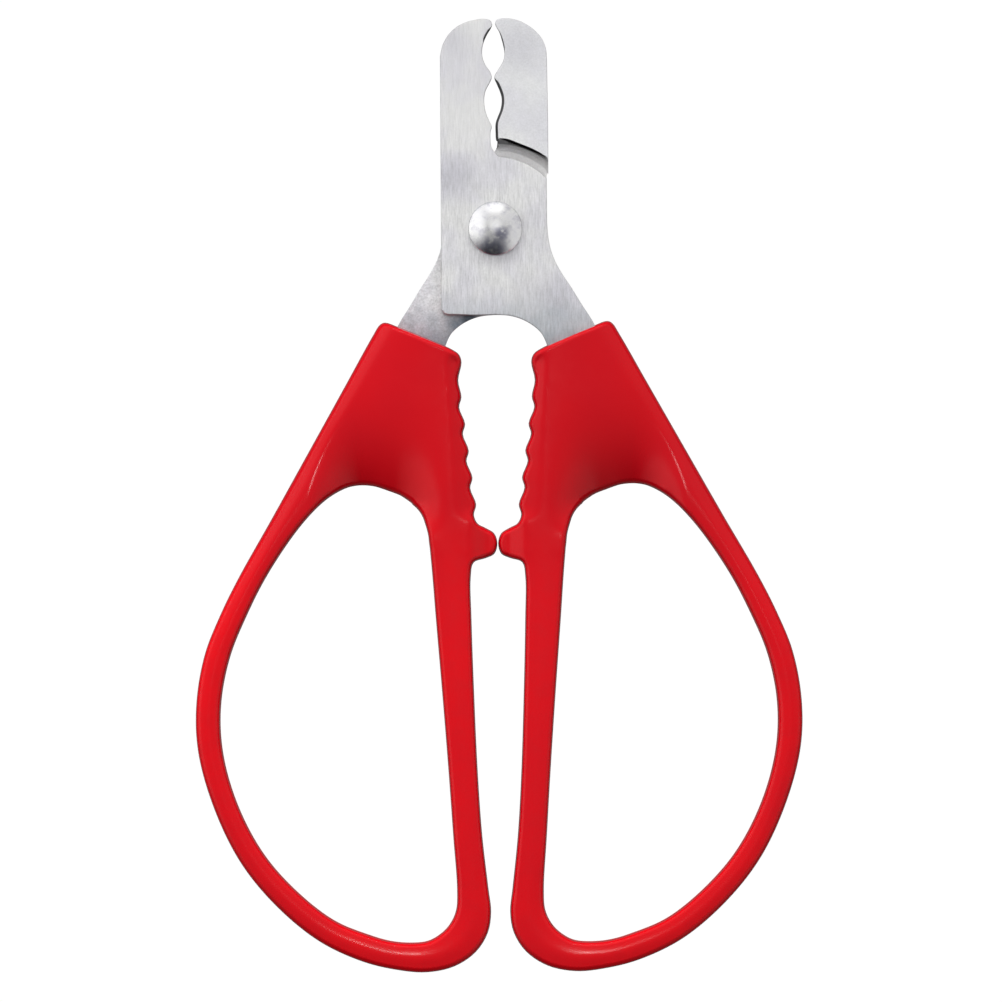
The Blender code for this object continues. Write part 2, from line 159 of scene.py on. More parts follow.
RIGHT_JAW = (
    (0.02, 8.9), (0.12, 9.6), (0.12, 10.8), (0.13, 12.1), (0.4, 12.9),
    (0.68, 13.6), (0.84, 14.4), (0.84, 15.1), (0.65, 15.8), (0.32, 16.6),
    (0.03, 17.4), (0.28, 18.0), (0.75, 18.7), (1.1, 19.4), (1.22, 20.2),
    (1.1, 21.0), (0.9, 21.8), (0.65, 22.6), (0.3, 23.25), (0.16, 23.65),
    (0.35, 24.03), (0.85, 24.18), (1.6, 24.2), (2.8, 23.95), (3.9, 23.4),
    (4.9, 22.6), (5.6, 21.7), (6.0, 20.6), (6.1, 19.5),
)
BACK_X = 6.17
JAW_START = ((0.34, 10.02), (0.17, 10.16))
JAW_FROM_Y = 10.45
JAW_BACK = (BACK_X, 12.0)
PLATE_START = ((0.04, 8.9), (0.26, 9.4), (0.33, 10.1), (0.33, 11.4))
REAR_BACK = ((BACK_X, 8.2), (5.98, 6.4), (5.9, 5.0))
REAR_TAIL = ((5.9, -9.2), (5.7, -9.7), (5.2, -9.9), (2.4, -9.95))
ARCH = (
    (0.2, -9.95), (1.6, -10.08), (3.0, -10.5), (4.3, -11.25), (5.2, -12.1),
    (5.72, -13.1), (6.2, -14.6), (7.4, -18.5), (9.0, -23.6),
)
TANG_END = ((9.7, -25.1), (11.2, -25.7), (12.7, -24.9))
SHANK = (
    (13.2, -22.4), (13.3, -18.5), (12.7, -14.6), (11.3, -11.1), (9.9, -8.85),
    (8.75, -6.95), (7.7, -5.35), (6.85, -3.8), (6.35, -2.4), (6.08, -0.9), (5.97, 0.6),
)
SHOULDER_END = ((0.34, 8.37), (0.14, 8.66))
# Last angles of the arcs that end beside the cutting edges, in degrees.
SHOULDER_TO = 86.0
STEP_TO = 87.2
WEB_TO = 87.6
PLATE_TO = 88.4
LONG_ARC_STEPS = 40
PLATE_ARC_STEPS = 24
WEB_ARC_STEPS = 20
JAW_STEPS = 6               # steps of a curve between two points of a blade's outline
TAIL_STEPS = 5
BACK_STEPS = 4
TANG_STEPS = 4

# Ground parts of the cutting edges: from and to along the jaw, fade, and lean.
FRONT_GRINDS = ((21.6, 23.0, 0.3, 0.17),)
REAR_GRINDS = ((9.0, 17.0, 0.5, 0.27), (20.6, 22.4, 0.6, 0.1))
FRONT_EDGE_BOX = (-1.45, 0.0, 9.0)      # x from and to, and least y, of that edge
REAR_EDGE_BOX = (1.6, 23.6)             # greatest x and y of the other one
TAIL_LEAN = 0.16            # lean of the front blade's tail, in full past the second x
TAIL_LEAN_X = (-2.2, -3.6)
TAIL_LEAN_BELOW = -9.5
CROTCH_LEAN = 0.1           # lean of the rear plate beside the crotch
CROTCH_BOX = (0.5, 8.95, 10.2)          # greatest x, and y from and to
FRONT_EDGE_ROUND = 0.11
JAW_EDGE_ROUND = 0.12
PLATE_EDGE_ROUND = 0.08
ROUND_MIDDLE = 0.3          # middle row of a rounded upper edge, as a share of its size
LOWER_ROUND = 0.6           # size of the lower edge's chamfer, as a share of the upper's
MITRE_LEAST = 0.6           # keeps sharp corners from running away when moved inwards
OVERLAP = 0.1               # how far the rear blade's shells run into each other
WELD = 0.002                # points nearer than this become one
STEP_FOOT_FROM_X = 0.4      # the hollow foot leaves out the end beside the cutting edge
NEAR_ARC = 0.02             # how near a point has to be to count as on the step's arc
NEAR_BACK = 0.1             # or as on the jaw's back

# ---------------------------------------------------------------- handle section
EDGE_ROUND = 0.5        # rounding of the edges of both faces
EDGE_SHARE = 0.27       # greatest rounding, as a share of the handle's width
EDGE_STEPS = 6          # steps round such an edge
WALL_DRAFT = 0.12       # lean of the side wall in from the parting line
WALL_ROW = 0.6          # place of the wall's middle row between the parting line and the edge
PARTING = 0.04          # height of the fine ridge on the parting line
PARTING_HALF = 0.12     # half its width
PARTING_SHARE = 0.4     # greatest half width, as a share of the wall's height
PARTING_CLEAR = 1.2     # the middle row stays above the ridge by this factor
EVEN_DEPTH = (0.45, 1.6)    # depths from the edge over which the serrations die out
ROW_LENGTH = 0.6        # length of a step round the handle
ROW_LEAST = 4           # least steps between two rows of the outline
ROWS_ACROSS = 22
ROW_PULL = 2.2          # how far the rows across the face leave the edges squarely
OUTER_REACH = 1.0       # lengths over which the edges' normals are taken
LOOP_REACH = 0.8
BAND = 1.65             # width of the sloped band along the outer edge
BAND_FALL = 0.42        # its fall at the edge
GRIP_BAND = (1.5, 2.7)  # width of the band along the serrations, at the top and at the stop
GRIP_FALL = 0.45        # its fall at the serrations
CREASE_ROUND = 0.4      # rounding of both bands' creases, as a share of their width
CROWN_FALL = 1.1        # fall of the wide face from its grip side to its outer edge
DISH = 2.8              # fall towards the top of the finger loop
DISH_REACH = 12.5       # distance from the loop at which it starts
DISH_POWER = 2.5        # how late it steepens
ROOF = 0.24             # fall of the loop's bars from their ridge to both edges
ROOF_ROUND = 0.4        # rounding of that ridge, as a share of half the width
STOP_FALL = 0.75        # fall of the closing stop's face to its end

# Where these shapes fade in: x or y from nothing to the full shape.
BAND_Y = (-50.0, -27.0)
BAND_ROWS = slice(7, 16)    # rows of TOP_AND_OUTER along the band
BAND_RUN_ON = 4.0           # straight run added past a band's end
GRIP_WIDENS_Y = (-18.0, -33.0)
GRIP_Y = (-34.4, -32.9)
GRIP_X = (9.0, 7.0)
CROWN_Y = (-58.0, -18.0)
CROWN_GRIP = (2.7, -33.0, 0.1)          # line of the crown's high side: x, y and x per y
CROWN_OUTER = (13.4, -11.0, -0.5676)    # line of its low side
DISH_RIGHT_X = (22.0, 15.5)
DISH_LEFT_X = (5.5, 12.0)
DISH_Y = (-36.0, -31.0)
ROOF_WIDTH = (7.5, 4.6)     # the roof fades in as the handle narrows
INNER_BAR_X = (11.0, 8.0)
INNER_BAR_Y = (-79.0, -71.0)
INNER_BAR_CUT = 0.75        # how much flatter the roof of the inner bar is
STOP_LOW_Y = (-39.7, -38.5)
STOP_HIGH_Y = (-33.4, -34.6)
STOP_X = (3.4, 1.0)
BATCH = 2000                # points handled at a time, to spare memory


def vectors(points):
    return [Vector(p) for p in points]


def mirrored(points):
    return [Vector((-p[0], p[1])) for p in points]


def knots(points):
    """Centripetal parameters of points in a row."""
    out = [0.0]
    for a, b in zip(points, points[1:]):
        out.append(out[-1] + math.sqrt((b - a).length) + 1e-9)
    return out


def span_point(p, t, u):
    """Point at u between the middle two of four points p with parameters t."""
    a = [p[i] + (p[i + 1] - p[i]) * ((u - t[i]) / (t[i + 1] - t[i])) for i in range(3)]
    b = [a[i] + (a[i + 1] - a[i]) * ((u - t[i]) / (t[i + 2] - t[i])) for i in range(2)]
    return b[0] + (b[1] - b[0]) * ((u - t[1]) / (t[2] - t[1]))


def smooth_run(points, steps, closed=False):
    """Centripetal curve through points, with the given number of steps in each span."""
    pts = vectors(points)
    if closed:
        ring = [pts[-1]] + pts + pts[:2]
    else:
        ring = [pts[0] * 2 - pts[1]] + pts + [pts[-1] * 2 - pts[-2]]
    if isinstance(steps, int):
        steps = [steps] * (len(ring) - 3)
    out = []
    for i, count in enumerate(steps):
        four = ring[i:i + 4]
        t = knots(four)
        for k in range(count):
            out.append(span_point(four, t, t[1] + (t[2] - t[1]) * k / count))
    if not closed:
        out.append(pts[-1])
    return out


def arc(radius, start, end, count):
    """Points about the rivet's axis, between two angles in degrees."""
    out = []
    for k in range(count + 1):
        a = math.radians(start + (end - start) * k / count)
        out.append(Vector((radius * math.cos(a), radius * math.sin(a))))
    return out


def step_blend(low, high, value):
    """Smooth step from 0 at low to 1 at high; works for falling ranges too."""
    t = np.clip((value - low) / (high - low), 0.0, 1.0)
    return t * t * (3 - 2 * t)


def line_x(line, y):
    """x at y on a line given by a point and its x per y."""
    return line[0] + (y - line[1]) * line[2]


def finish_mesh(name, bm, body, replaced, material, angle=30.0, flat=False):
    """Turn a bmesh in plan millimetres into a piece on its body."""
    bmesh.ops.scale(bm, verts=bm.verts, vec=(MM, MM, MM))
    bmesh.ops.translate(bm, verts=bm.verts, vec=(0.0, PIVOT_Y * MM, 0.0))
    bmesh.ops.recalc_face_normals(bm, faces=bm.faces)
    mesh = bpy.data.meshes.new(name)
    bm.to_mesh(mesh)
    bm.free()
    mesh.shade_smooth()
    mesh.set_sharp_from_angle(angle=math.radians(angle))
    mesh.materials.append(material)
    obj = bpy.data.objects.new(name, mesh)
    bpy.context.scene.collection.objects.link(obj)
    if flat:
        normals = obj.modifiers.new("flat_faces", "WEIGHTED_NORMAL")
        normals.weight = 100    # large faces decide
        normals.keep_sharp = True
    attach(obj, body)
    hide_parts(*replaced)


# ---------------------------------------------------------------- handles
def grip_points(scalloped):
    """Outer points of the serrated edge or of the even line through it, upwards."""
    points = [GRIP_START]
    for k in reversed(range(CUSPS)):
        x = CUSP_FIRST[0] + CUSP_PITCH[0] * k
        y = CUSP_FIRST[1] + CUSP_PITCH[1] * k
        if scalloped:
            points.append((x + SCALLOP_AT[0], y + SCALLOP_AT[1]))
            points.append((x, y))
        else:
            points.append((x + EVEN_AT[0], y + SCALLOP_AT[1]))
            points.append((x + EVEN_AT[1], y))
    points.append(SCALLOP_TOP)
    return points


def handle_rows(scalloped):
    """All rows round the right handle: outer x, y and loop x, y."""
    rows = list(TOP_AND_OUTER) + list(STOP)
    grip = grip_points(scalloped)
    for k, p in enumerate(grip):
        share = k / (len(grip) - 1)
        bulge = 4.0 * share * (1.0 - share)
        x = GRIP_LOOP_LOW[0] + (GRIP_LOOP_HIGH[0] - GRIP_LOOP_LOW[0]) * share
        y = GRIP_LOOP_LOW[1] + (GRIP_LOOP_HIGH[1] - GRIP_LOOP_LOW[1]) * share
        x, y = x + GRIP_LOOP_BULGE[0] * bulge, y + GRIP_LOOP_BULGE[1] * bulge
        rows.append((p[0], p[1], x, y))
    return rows


def ring_normals(points, reach):
    """Right-hand unit normals of a clockwise ring, from points a length apart."""
    p = np.vstack([points, points[:1]])
    s = np.concatenate([[0.0], np.cumsum(np.linalg.norm(np.diff(p, axis=0), axis=1))])
    total = s[-1]
    here = s[:-1]

    def at(where):
        where = np.mod(where, total)
        return np.stack([np.interp(where, s, p[:, 0]), np.interp(where, s, p[:, 1])], 1)

    along = at(here + reach) - at(here - reach)
    normal = np.stack([along[:, 1], -along[:, 0]], 1)
    return normal / np.linalg.norm(normal, axis=1, keepdims=True)


def gap(points, line, closed=False):
    """Least distance from each point to a line of straight pieces."""
    start = line if closed else line[:-1]
    run = (np.roll(line, -1, axis=0) if closed else line[1:]) - start
    length2 = np.maximum((run ** 2).sum(axis=1), 1e-12)
    flat = points.reshape(-1, 2)
    out = np.empty(len(flat))
    for k in range(0, len(flat), BATCH):
        some = flat[k:k + BATCH, None, :] - start[None]
        t = np.clip((some * run).sum(axis=2) / length2, 0.0, 1.0)
        out[k:k + BATCH] = np.sqrt(((some - run * t[..., None]) ** 2).sum(axis=2).min(axis=1))
    return out.reshape(points.shape[:-1])


def extended(line, first, last):
    """Line with straight ends added, by lengths at its start and end."""
    line = np.array(line, float)
    a, b = line[0] - line[1], line[-1] - line[-2]
    head = line[0] + a / np.linalg.norm(a) * first
    tail = line[-1] + b / np.linalg.norm(b) * last
    return np.vstack([head, line, tail])


def rounded_start(t):
    """Straight rise from 0 to 1 with a rounded foot, flat below 0."""
    t = np.clip(t, 0.0, 1.0)
    foot = CREASE_ROUND
    rise = np.where(t < foot, t * t / (2 * foot), t - foot / 2)
    return rise / (1 - foot / 2)


def face_fall(p, width, ring_out, ring_in):
    """How far the handle's face lies below its highest level, at rows of points."""
    x, y = p[..., 0], p[..., 1]
    d_in = gap(p, ring_in, True)
    d_out = gap(p, ring_out, True)
    outer_edge = [row[:2] for row in TOP_AND_OUTER[BAND_ROWS]]
    d_band = gap(p, extended(outer_edge, BAND_RUN_ON, 0.0))
    d_grip = gap(p, extended(grip_points(False)[2:-1], 0.0, BAND_RUN_ON))
    bands = BAND_FALL * step_blend(*BAND_Y, y) * rounded_start(1.0 - d_band / BAND)
    reach = GRIP_BAND[0] + (GRIP_BAND[1] - GRIP_BAND[0]) * step_blend(*GRIP_WIDENS_Y, y)
    bands += (GRIP_FALL * step_blend(*GRIP_Y, y) * step_blend(*GRIP_X, x)
              * rounded_start(1.0 - d_grip / reach))
    left, right = line_x(CROWN_GRIP, y), line_x(CROWN_OUTER, y)
    across = np.clip((x - left) / np.maximum(1.0, right - left), 0.0, 1.0)
    crown = CROWN_FALL * step_blend(*CROWN_Y, y) * across * across
    # Long roll-off towards the top of the loop, and a low roof on the loop's bars.
    dish_on = step_blend(*DISH_RIGHT_X, x) * step_blend(*DISH_LEFT_X, x) * step_blend(*DISH_Y, y)
    dish = DISH * dish_on * np.maximum(0.0, 1.0 - d_in / DISH_REACH) ** DISH_POWER
    off_middle = (d_out - d_in) / (d_out + d_in + 1e-6)
    soft = ROOF_ROUND
    roof = (np.sqrt(off_middle ** 2 + soft * soft) - soft) / (math.sqrt(1 + soft * soft) - soft)
    inner_bar = step_blend(*INNER_BAR_X, x) * step_blend(*INNER_BAR_Y, y)
    roof = ROOF * roof * step_blend(*ROOF_WIDTH, width[:, None]) * (1.0 - INNER_BAR_CUT * inner_bar)
    stop = STOP_FALL * step_blend(*STOP_LOW_Y, y) * step_blend(*STOP_HIGH_Y, y)
    stop = stop * step_blend(*STOP_X, x)
    return bands + crown + dish + roof + stop


def edge_rows(mean, point, normal, radius):
    """Rows from the parting line over the rounded edge: plan points, and drop from the face.

    The rows follow the edge's own points at first, and its mean line further in.
    """
    rows = []
    places = [(0.0, None), (PARTING, None), (WALL_DRAFT * WALL_ROW, None)]
    for k in range(EDGE_STEPS + 1):
        t = math.radians(90.0 * k / EDGE_STEPS)
        places.append((WALL_DRAFT + radius * (1 - math.cos(t)), 1 - math.sin(t)))
    for d, drop in places:
        d = np.broadcast_to(d, radius.shape)[:, None]
        keep = 1.0 - step_blend(*EVEN_DEPTH, d)
        rows.append((mean + normal * d + (point - mean) * keep,
                     None if drop is None else radius * drop))
    return rows


def handle_half():
    """Plan points of the right handle's rows from edge to edge, and heights over its middle."""
    rows = handle_rows(True)
    outer_rows = vectors(r[:2] for r in rows)
    steps = []
    for i, p in enumerate(outer_rows):
        reach = (outer_rows[(i + 1) % len(outer_rows)] - p).length
        steps.append(max(ROW_LEAST, round(reach / ROW_LENGTH)))
    outer = np.array([tuple(p) for p in smooth_run(outer_rows, steps, True)])
    plain = [r[:2] for r in handle_rows(False)]
    base = np.array([tuple(p) for p in smooth_run(plain, steps, True)])
    loop = np.array([tuple(p) for p in smooth_run([r[2:] for r in rows], steps, True)])
    out_n = ring_normals(base, OUTER_REACH)
    loop_n = -ring_normals(loop, LOOP_REACH)
    width = np.linalg.norm(loop - base, axis=1)
    radius = np.minimum(EDGE_ROUND, EDGE_SHARE * width)
    first = edge_rows(base, outer, out_n, radius)
    last = edge_rows(loop, loop, loop_n, radius)
    start, end = first[-1][0], last[-1][0]
    # Rows across the face leave both edges squarely and bend towards each other.
    chord = np.linalg.norm(end - start, axis=1)[:, None]
    pull = np.minimum(chord, ROW_PULL)
    middle = []
    for k in range(1, ROWS_ACROSS):
        t = (1 - math.cos(math.pi * k / ROWS_ACROSS)) / 2
        a, b = 2 * t ** 3 - 3 * t ** 2 + 1, t ** 3 - 2 * t ** 2 + t
        c, d = -2 * t ** 3 + 3 * t ** 2, t ** 3 - t ** 2
        p = start * a + out_n * pull * b + end * c - loop_n * pull * d
        middle.append((p, np.zeros(len(p))))
    every = first + middle + list(reversed(last))
    plan = np.stack([r[0] for r in every], axis=1)
    level = MID_Z - face_fall(plan, width, base, loop)
    for k, (_, drop) in enumerate(every):
        if drop is not None:
            level[:, k] -= drop
    for parting, near, wall, corner in ((0, 1, 2, 3), (-1, -2, -3, -4)):
        level[:, parting] = 0.0
        level[:, near] = np.minimum(PARTING_HALF, level[:, corner] * PARTING_SHARE)
        level[:, wall] = np.maximum(level[:, corner] * WALL_ROW, level[:, near] * PARTING_CLEAR)
    return plan, level


def build_handle(name, side, body, node, material):
    """Handle on the left (side -1) or right (side 1), with equal faces above and below."""
    bm = bmesh.new()
    rings = []
    for points, heights in zip(*handle_half()):
        top = [bm.verts.new((side * p[0], p[1], MID_Z + h)) for p, h in zip(points, heights)]
        under = [bm.verts.new((side * p[0], p[1], MID_Z - h))
                 for p, h in reversed(list(zip(points, heights))[1:-1])]
        rings.append(top + under)
    for i, ring in enumerate(rings):
        following = rings[(i + 1) % len(rings)]
        for k in range(len(ring)):
            n = (k + 1) % len(ring)
            bm.faces.new((ring[k], ring[n], following[n], following[k]))
    finish_mesh(name, bm, body, [node], material, 40.0)


# ---------------------------------------------------------------- blades
def inset(points, distances):
    """Closed outline moved inwards by a distance for each point."""
    area = sum(a.cross(b) for a, b in zip(points, points[1:] + points[:1]))
    sign = -1.0 if area > 0 else 1.0
    out = []
    for i, p in enumerate(points):
        before = (p - points[i - 1]).normalized()
        after = (points[(i + 1) % len(points)] - p).normalized()
        along = (before + after).normalized()
        normal = Vector((along.y, -along.x)) * sign
        reach = distances[i] / max(MITRE_LEAST, math.sqrt((1 + before.dot(after)) / 2))
        out.append(p + normal * reach)
    return out


def upper_edge(edge, high):
    """Distance inwards and height of each row of a rounded upper edge."""
    middle = edge * ROUND_MIDDLE
    return (edge, high), (middle, high - middle), (0.0, high - edge)


def shell(outline, lean, low, high, edge):
    """Plate with rounded upper and lower edges; lean is the wall's run at each point."""
    bm = bmesh.new()
    layers = [(distance, z, 1.0) for distance, z in upper_edge(edge, high)]
    layers += [(0.0, low + edge * LOWER_ROUND, 0.0), (edge * LOWER_ROUND, low, 0.0)]
    rings = []
    for round_in, z, share in layers:
        ring = inset(outline, [round_in + l * share for l in lean])
        rings.append([bm.verts.new((p.x, p.y, z)) for p in ring])
    bridge(bm, rings)
    return bm


def bridge(bm, rings):
    """Join rings of equal length with quads, and cap both ends."""
    for a, b in zip(rings, rings[1:]):
        for k in range(len(a)):
            n = (k + 1) % len(a)
            bm.faces.new((a[k], a[n], b[n], b[k]))
    bm.faces.new(rings[0])
    bm.faces.new(rings[-1])


def ground(y, grinds):
    """Lean of a cutting edge at a place along the jaw."""
    lean = 0.0
    for low, high, fade, amount in grinds:
        rise = float(step_blend(low - fade, low + fade, y))
        lean += amount * rise * (1.0 - float(step_blend(high - fade, high + fade, y)))
    return lean


def shoulder():
    start = math.degrees(math.acos(FRONT_EDGE_X / SHOULDER_R))
    return arc(SHOULDER_R, start, SHOULDER_TO, LONG_ARC_STEPS) + vectors(SHOULDER_END)


def shank_side():
    """Arch, tang and shank on the right, from the arch's start up to the plate."""
    lower = smooth_run(ARCH, JAW_STEPS) + smooth_run(TANG_END, TANG_STEPS)
    return lower + smooth_run(SHANK, JAW_STEPS) + shoulder()


def build_front_blade(material):
    outline = smooth_run(LEFT_JAW, JAW_STEPS) + smooth_run(FRONT_TAIL[:3], TAIL_STEPS)
    outline += vectors(FRONT_TAIL[3:]) + shank_side()
    lean = []
    from_x, to_x, from_y = FRONT_EDGE_BOX
    for p in outline:
        if from_x < p.x < to_x and p.y > from_y:
            lean.append(ground(p.y, FRONT_GRINDS))
        elif p.y < TAIL_LEAN_BELOW and p.x < 0.0:
            lean.append(TAIL_LEAN * float(step_blend(*TAIL_LEAN_X, p.x)))
        else:
            lean.append(0.0)
    bm = shell(outline, lean, FRONT_LOW, FRONT_TOP, FRONT_EDGE_ROUND)
    finish_mesh("front_blade_steel", bm, FRONT_BODY, ["front_blade"],
                material, flat=True)


def united(shells):
    """Union of closed shells, given and returned as bmeshes in millimetres."""
    objects = []
    for bm in shells:
        bmesh.ops.recalc_face_normals(bm, faces=bm.faces)
        mesh = bpy.data.meshes.new("shell")
        bm.to_mesh(mesh)
        bm.free()
        objects.append(bpy.data.objects.new("shell", mesh))
        bpy.context.scene.collection.objects.link(objects[-1])
    for other in objects[1:]:
        union = objects[0].modifiers.new("union", "BOOLEAN")
        union.operation = "UNION"
        union.solver = "EXACT"
        union.object = other
    result = bmesh.new()
    result.from_object(objects[0], bpy.context.evaluated_depsgraph_get())
    bmesh.ops.remove_doubles(result, verts=result.verts, dist=WELD)
    bmesh.ops.dissolve_degenerate(result, edges=result.edges, dist=WELD / 2)
    for obj in objects:
        mesh = obj.data
        bpy.data.objects.remove(obj)
        bpy.data.meshes.remove(mesh)
    return result


def raised_jaw():
    """Jaw at the front blade's level, outside the step, with the step's hollow foot."""
    outline = vectors(JAW_START)
    outline += [p for p in smooth_run(RIGHT_JAW, JAW_STEPS) if p.y > JAW_FROM_Y]
    outline += [Vector(JAW_BACK)]
    start = 90.0 - math.degrees(math.asin(BACK_X / STEP_R))
    outline += arc(STEP_R, start, STEP_TO, LONG_ARC_STEPS)
    edge_x, edge_y = REAR_EDGE_BOX
    lean = [ground(p.y, REAR_GRINDS) if p.x < edge_x and p.y < edge_y else 0.0 for p in outline]
    bm = bmesh.new()
    rings = []
    for distance, z in upper_edge(JAW_EDGE_ROUND, FRONT_TOP):
        ring = inset(outline, [l + distance for l in lean])
        rings.append([bm.verts.new((p.x, p.y, z)) for p in ring])
    for z, run in STEP_FOOT:
        ring = []
        for p in outline:
            if abs(p.length - STEP_R) < NEAR_ARC and p.x > STEP_FOOT_FROM_X:
                x = BACK_X if p.x > BACK_X - NEAR_BACK else min(p.x, BACK_X)
                p = Vector((x, math.sqrt((STEP_R - run) ** 2 - x * x)))
            ring.append(bm.verts.new((p.x, p.y, z)))
        rings.append(ring)
    bridge(bm, rings)
    return bm


def rear_plate():
    """Plate behind the front blade, with the shank and tang."""
    rim = math.degrees(math.asin(BACK_X / WEB_OUT))
    outline = vectors(PLATE_START)
    outline += list(reversed(arc(WEB_OUT, 90.0 - rim, PLATE_TO, PLATE_ARC_STEPS)))
    outline += smooth_run(REAR_BACK, BACK_STEPS) + smooth_run(REAR_TAIL[:3], TAIL_STEPS)
    outline += vectors(REAR_TAIL[3:]) + mirrored(shank_side())
    to_x, low, high = CROTCH_BOX
    lean = [CROTCH_LEAN if p.x < to_x and low < p.y < high else 0.0 for p in outline]
    return shell(outline, lean, REAR_LOW, REAR_TOP, PLATE_EDGE_ROUND)


def step_web():
    """Wall of the step between the two levels, with the slope behind it."""
    bm = bmesh.new()
    rings = []
    for radius, start_x, low in ((WEB_OUT - OVERLAP, WEB_START[0], REAR_LOW),
                                 (WEB_OUT + WEB_RUN, WEB_START[1], FRONT_LOW)):
        right = math.degrees(math.acos(BACK_X / radius))
        left = math.degrees(math.acos(start_x / radius))
        start = math.degrees(math.acos(BACK_X / WEB_IN))
        loop = arc(WEB_IN, start, WEB_TO, WEB_ARC_STEPS)
        loop += list(reversed(arc(radius, right, left, WEB_ARC_STEPS)))
        rings.append([bm.verts.new((p.x, p.y, low + OVERLAP)) for p in loop])
    bridge(bm, rings)
    return bm


def build_rear_blade(material):
    bm = united([raised_jaw(), rear_plate(), step_web()])
    finish_mesh("rear_blade_steel", bm, REAR_BODY, ["rear_blade"],
                material, flat=True)


def rivet_profile():
    """Radius and level of the rivet's points, from the top of the dome to the tail's foot."""
    radius = (HEAD_R ** 2 + HEAD_DOME ** 2) / (2 * HEAD_DOME)
    edge = math.asin(HEAD_R / radius)
    rim_z = HEAD_SEAT + HEAD_RIM
    profile = []
    for k in range(DOME_STEPS):
        a = edge * k / DOME_STEPS
        profile.append((radius * math.sin(a), rim_z + HEAD_DOME - radius * (1 - math.cos(a))))
    profile += [(HEAD_R + r, rim_z + z) for r, z in HEAD_EDGE]
    profile += [(HEAD_R - HEAD_UNDERCUT, HEAD_SEAT), (SHANK_R, HEAD_SEAT), (SHANK_R, TAIL_TOP)]
    for k in range(TAIL_ROUND_STEPS + 1):
        a = math.pi / 2 * k / TAIL_ROUND_STEPS
        profile.append((TAIL_FLAT_R + (TAIL_R - TAIL_FLAT_R) * math.cos(a),
                        TAIL_TOP - TAIL_T + TAIL_T * TAIL_ROUND * (1 - math.sin(a)) + TAIL_LIFT))
    return profile + [(0.0, TAIL_TOP - TAIL_T)]


def build_rivet(material):
    """Domed head with a small fillet at its rim, shank, and spread tail."""
    bm = bmesh.new()
    rings = []
    for r, z in rivet_profile():
        if r < 1e-6:
            rings.append([bm.verts.new((0.0, 0.0, z))])
            continue
        ring = []
        for k in range(RIVET_SIDES):
            a = 2 * math.pi * k / RIVET_SIDES
            ring.append(bm.verts.new((r * math.cos(a), r * math.sin(a), z)))
        rings.append(ring)
    for a, b in zip(rings, rings[1:]):
        for k in range(RIVET_SIDES):
            n = (k + 1) % RIVET_SIDES
            if len(a) == 1:
                bm.faces.new((a[0], b[n], b[k]))
            elif len(b) == 1:
                bm.faces.new((a[k], a[n], b[0]))
            else:
                bm.faces.new((a[k], a[n], b[n], b[k]))
    finish_mesh("rivet_domed", bm, REAR_BODY, ["rivet"], material, 40.0)


# ---------------------------------------------------------------- materials
# Colours are linear, noise scales are per metre, and places are plan millimetres.
EDGE_SHADE_DEEP = 0.16        # painted shade: brightness of the cutting edges and the step beside the faces
EDGE_SHADE_LIGHT = 0.8        # painted shade: brightness of the other edges and the walls
FLATNESS = (0.15, 0.60)     # upward part of the normal, from an edge to a face
HANDLE_SHADE_Y = (-4.5, -13.5)     # painted shade on the steel deepens between these
HANDLE_SHADE_RAGGED = 0.004        # metres by which their limits wander

# The plastic, light and dark, on the upper part, and lighter on the bars as painted light.
RED_UPPER = ((0.465, 0.0008, 0.0050, 1.0), (0.435, 0.0010, 0.0060, 1.0))
RED_LOOPS_LIGHTER = ((0.575, 0.0006, 0.0050, 1.0), (0.535, 0.0008, 0.0058, 1.0))
RED_LIGHTER_Y = (-30.0, -46.0)
RED_FLECK = (0.45, 0.0008, 0.0055, 1.0)
RED_FLECK_SHARE = 0.25
RED_SPECULAR = 0.22         # under half the usual 0.5, for a soft gloss

BRUSHED_LIGHT = (0.745, 0.745, 0.742, 1.0)
BRUSHED_DARK = (0.67, 0.665, 0.697, 1.0)
BRUSHED_DARKER = (0.53, 0.525, 0.57, 1.0)
# Painted shade towards the handles, tinted blue against their red.
BRUSHED_HANDLE_SHADE = (0.26, 0.315, 0.35, 1.0)
# Plan place, inner and outer radius, and depth of the darker parts of the brushed plate; the two on
# the right shank are painted shade.
DARKER_PLACES = (
    (-5.0, 5.6, 0.5, 4.2, 0.8), (4.2, -8.4, 0.5, 5.0, 0.4), (7.4, -8.0, 0.5, 3.6, 0.5),
    (-4.6, 22.0, 0.5, 3.5, 0.35),
)
BRUSH_FINE = (6800.0, 750.0, 3000.0)    # noise scales across, along and up
BRUSH_BROAD = (2600.0, 330.0, 1500.0)
BRUSHED_METAL = 0.72
# Places between which the painted shade of the front blade's cutting edge fades in.
FRONT_DARK_X = (-2.6, -2.0)
FRONT_DARK_Y = (10.0, 16.0)
TIP_Y = (24.0, 23.4)

SATIN_LIGHT = (0.78, 0.785, 0.79, 1.0)
SATIN_DARK = (0.725, 0.725, 0.755, 1.0)
SATIN_DULL = (0.57, 0.565, 0.61, 1.0)
# Painted shade towards the handles, tinted blue against their red.
SATIN_HANDLE_SHADE = (0.20, 0.28, 0.33, 1.0)
# Painted light for the floor below the step.
SATIN_TRENCH_LIGHT = (0.98, 0.97, 0.97, 1.0)
SATIN_METAL = 0.65
# Painted shadow under the front blade's tail, soft and deep.
TAIL_SHADOW_SOFT = (0.26, 0.27, 0.32, 1.0)
TAIL_SHADOW_DEEP = (0.06, 0.06, 0.08, 1.0)
